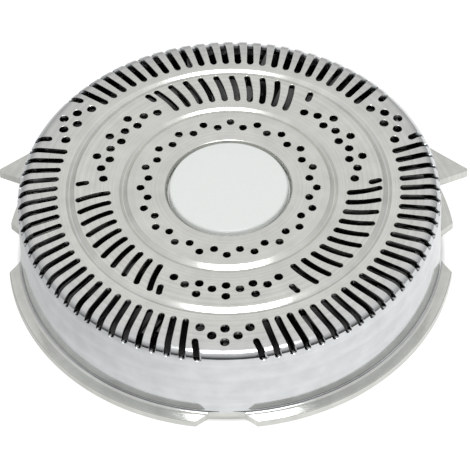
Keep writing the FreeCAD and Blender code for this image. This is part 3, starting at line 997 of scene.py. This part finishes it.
@dataclass(frozen=True)
class PlasticFinish(Finish):
    """Moulded plastic with a faint skin texture."""

    grain_scale: float = 6000.0
    grain_detail: float = 3.0
    colour_spread: float = 0.03
    relief: float = 0.000002
    relief_strength: float = 0.3

    def build(self) -> bpy.types.Material:
        """The plastic as a material."""
        material, wiring, shader = self.start()
        place = wiring.add("ShaderNodeTexCoord").outputs["Object"]
        grain = wiring.noise(place, self.grain_scale, self.grain_detail)
        inputs = {
            "Base Color": wiring.colour_between(grain, *self.shades(self.colour_spread)),
            "Normal": wiring.relief(grain, self.relief_strength, self.relief),
        }
        wiring.fill(shader, inputs)
        return material


CAP_STEEL = SteelFinish("cap_steel_finish", (0.75, 0.75, 0.715), 0.24)
# The blade, spring and hub colours are darker than these parts' own colours, partly as painted shade of the
# dim space under the cap.
BLADE_STEEL = InnerSteel("blade_steel_finish", (0.36, 0.36, 0.36), 0.34)
SPRING_STEEL = InnerSteel("spring_steel_finish", (0.38, 0.365, 0.34), 0.28)
DISC_PLASTIC = PlasticFinish("disc_plastic_finish", (0.76, 0.785, 0.765), 0.22)
HUB_PLASTIC = PlasticFinish("hub_plastic_finish", (0.18, 0.186, 0.2), 0.45)


@dataclass
class Studio:
    """Plain pale floor, soft light and the photograph's camera."""

    focus_height: float
    elevation: float = 48.70
    azimuth: float = 2.8
    distance: float = 263.68
    focal_pixels: float = 4653.4
    frame_pixels: float = 470.0
    focus_pixel: Point = (228.645, 187.358)
    roll: float = 0.0383
    sensor: float = 36.0
    floor_size: float = 4.0
    floor_drop: float = 0.02
    floor_colour: Colour = (0.5, 0.5, 0.5)
    floor_glow: float = 0.54
    camera_glow: float = 1.25
    front_dome: tuple[Point, ...] = ((0.001, 0.02), (0.2, 0.06), (0.45, 0.5), (0.72, 0.78), (0.999, 0.8))
    side_dome: tuple[Point, ...] = ((0.001, 0.42), (0.2, 0.5), (0.45, 0.6), (0.72, 0.78), (0.999, 0.8))
    front_reach: Point = (-0.6, 0.0)
    covered: float = 11.9
    cover_fade: float = 0.5
    shade_reach: float = 16.0
    left_shade: float = 0.3
    lamp_place: Bend = (0.03, -0.28, 0.5)
    lamp_size: Point = (0.34, 0.16)
    lamp_power: float = 1.35
    clip: Point = (0.01, 20.0)

    def camera(self) -> None:
        """The camera at the photograph's angle, turned so that the tracks' centre falls on its pixel."""
        tilt = math.radians(self.elevation)
        turn = math.radians(self.azimuth)
        back = Vector((math.sin(turn) * math.cos(tilt), -math.cos(turn) * math.cos(tilt), math.sin(tilt)))
        level = Vector((math.cos(turn), math.sin(turn), 0))
        rise = back.cross(level)
        right = level * math.cos(self.roll) - rise * math.sin(self.roll)
        up = level * math.sin(self.roll) + rise * math.cos(self.roll)
        middle = self.frame_pixels / 2
        aside = middle - self.focus_pixel[0]
        above = self.focus_pixel[1] - middle
        aim = (back * self.focal_pixels - right * aside - up * above).normalized()
        right = (right - aim * right.dot(aim)).normalized()
        up = aim.cross(right)
        data = bpy.data.cameras.new("photo_camera")
        data.sensor_width = self.sensor
        data.lens = self.sensor * self.focal_pixels / self.frame_pixels
        data.clip_start, data.clip_end = self.clip
        camera = bpy.data.objects.new("photo_camera", data)
        bpy.context.collection.objects.link(camera)
        where = Vector((0, 0, self.focus_height)) + back * self.distance
        facing = Matrix((right, up, aim)).transposed().to_4x4()
        camera.matrix_world = Matrix.Translation(where * MM) @ facing
        bpy.context.scene.camera = camera

    def floor(self) -> None:
        """A pale floor that keeps the object's shadow and shows white elsewhere."""
        Workbench.clear_selection()
        bpy.ops.mesh.primitive_grid_add(x_subdivisions=2, y_subdivisions=2, size=self.floor_size)
        floor = bpy.context.object
        floor.name = "floor"
        floor.data.transform(Matrix.Translation((0, 0, -self.floor_drop * MM)))
        floor.data.materials.append(self.paper())

    def paper(self) -> bpy.types.Material:
        """Paper, white to the camera, that the steel mirrors as a glow which falls off to the left."""
        material = bpy.data.materials.new("floor_paper")
        material.use_nodes = True
        wiring = Wiring(material.node_tree)
        wiring.tree.nodes.clear()
        place = wiring.add("ShaderNodeTexCoord").outputs["Object"]
        aside = wiring.add("ShaderNodeSeparateXYZ", {0: place}).outputs["X"]
        rays = wiring.add("ShaderNodeLightPath").outputs
        bounced = wiring.number("MAXIMUM", rays["Is Glossy Ray"], rays["Is Transmission Ray"])
        level = wiring.spread(aside, (-self.shade_reach * MM, 0.0), (self.left_shade, 1.0))
        mirrored = wiring.number("MULTIPLY", bounced, level)
        seen = wiring.number("MULTIPLY_ADD", rays["Is Camera Ray"], self.camera_glow, mirrored)
        edge = (self.covered * MM, (self.covered + self.cover_fade) * MM)
        outside = wiring.spread(wiring.length(place), edge, (0.0, self.floor_glow))
        strength = wiring.number("MULTIPLY", seen, outside)
        glow = wiring.add("ShaderNodeEmission", {"Color": WHITE, "Strength": strength})
        matt = wiring.add("ShaderNodeBsdfDiffuse", {"Color": (*self.floor_colour, 1)})
        both = wiring.add("ShaderNodeAddShader", {0: matt.outputs[0], 1: glow.outputs[0]})
        wiring.add("ShaderNodeOutputMaterial", {"Surface": both.outputs[0]})
        return material

    def world(self) -> None:
        """A soft dome: white to the camera, brighter overhead than at the horizon to all that it lights."""
        world = bpy.data.worlds.new("studio_dome")
        bpy.context.scene.world = world
        world.use_nodes = True
        wiring = Wiring(world.node_tree)
        background = wiring.tree.nodes["Background"]
        background.inputs["Color"].default_value = WHITE
        facing = wiring.add("ShaderNodeTexCoord").outputs["Generated"]
        sides = wiring.add("ShaderNodeSeparateXYZ", {0: facing}).outputs
        front = self.ramp(wiring, sides["Z"], self.front_dome)
        side = self.ramp(wiring, sides["Z"], self.side_dome)
        turn = wiring.spread(sides["Y"], self.front_reach, soft=True)
        light = wiring.number_between(turn, front, side)
        camera_ray = wiring.add("ShaderNodeLightPath").outputs["Is Camera Ray"]
        wiring.fill(background, {"Strength": wiring.number_between(camera_ray, light, 1.0)})

    @staticmethod
    def ramp(wiring: Wiring, value: Source, levels: tuple[Point, ...]) -> bpy.types.NodeSocket:
        """A brightness that changes with a value, from one level to the next."""
        node = wiring.add("ShaderNodeValToRGB", {0: value})
        stops = node.color_ramp.elements
        for place, level in levels:
            stops.new(place).color = (level, level, level, 1)
        stops.remove(stops[0])
        stops.remove(stops[-1])
        return node.outputs["Color"]

    def lamp(self) -> None:
        """A soft oblong lamp in front and above that points at the object."""
        data = bpy.data.lights.new("front_lamp", "AREA")
        data.shape = "RECTANGLE"
        data.size, data.size_y = self.lamp_size
        data.energy = self.lamp_power
        lamp = bpy.data.objects.new("front_lamp", data)
        bpy.context.collection.objects.link(lamp)
        place = Vector(self.lamp_place)
        lamp.matrix_world = Matrix.Translation(place) @ place.to_track_quat("Z", "Y").to_matrix().to_4x4()

    def build(self) -> None:
        """Sets the whole studio up."""
        self.floor()
        self.world()
        self.lamp()
        self.camera()
        bpy.context.scene.view_settings.view_transform = "Standard"


@dataclass
class ShaverHead:
    """The whole head: the new pieces, the carried-over ones, their bodies and their finishes."""

    frame: dict

    def add(self, piece: bpy.types.Object, finish: Finish, body: str, slot: str, node: str) -> None:
        """Dresses a new piece and puts it in the place of a frame node.

        Args:
            piece: the new piece.
            finish: what it is dressed in.
            body: the body that it moves with.
            slot: its material slot in the record; not used.
            node: the frame node that it stands in for.
        """
        piece.data.materials.clear()
        piece.data.materials.append(finish.build())
        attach(piece, body)
        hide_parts(node)
        LOG.info("%s: %d faces in place of %s", piece.name, len(piece.data.polygons), node)

    def dress(self, node: str, finish: Finish) -> None:
        """Gives a carried-over node its finish."""
        piece = self.frame["nodes"][node]
        piece.data.materials.clear()
        piece.data.materials.append(finish.build())
        LOG.info("%s: carried over and dressed", node)

    def build(self) -> None:
        """Builds and dresses the head."""
        cap_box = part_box("shaving_cap")
        disc_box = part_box("centre_disc")
        section = CapSection(height=cap_box[1].z / MM)
        cap = ShavingCap(section).build()
        self.add(cap, CAP_STEEL, "cap", "cap_steel", "shaving_cap")
        floor = section.height - section.dish_depth
        disc = CentreDisc(disc_box[1].x / MM, disc_box[1].z / MM, floor).build()
        self.add(disc, DISC_PLASTIC, "cap", "disc_plastic", "centre_disc")
        self.dress("cutter", BLADE_STEEL)
        self.dress("lifter_ring", SPRING_STEEL)
        self.dress("drive_hub", HUB_PLASTIC)


def main() -> None:
    """Builds the head and its studio around the frame."""
    logging.basicConfig(level=logging.INFO, format="%(name)s: %(message)s")
    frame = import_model()
    head = ShaverHead(frame)
    head.build()
    Studio(focus_height=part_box("shaving_cap")[1].z / MM).build()


if __name__ == "__main__":
    main()
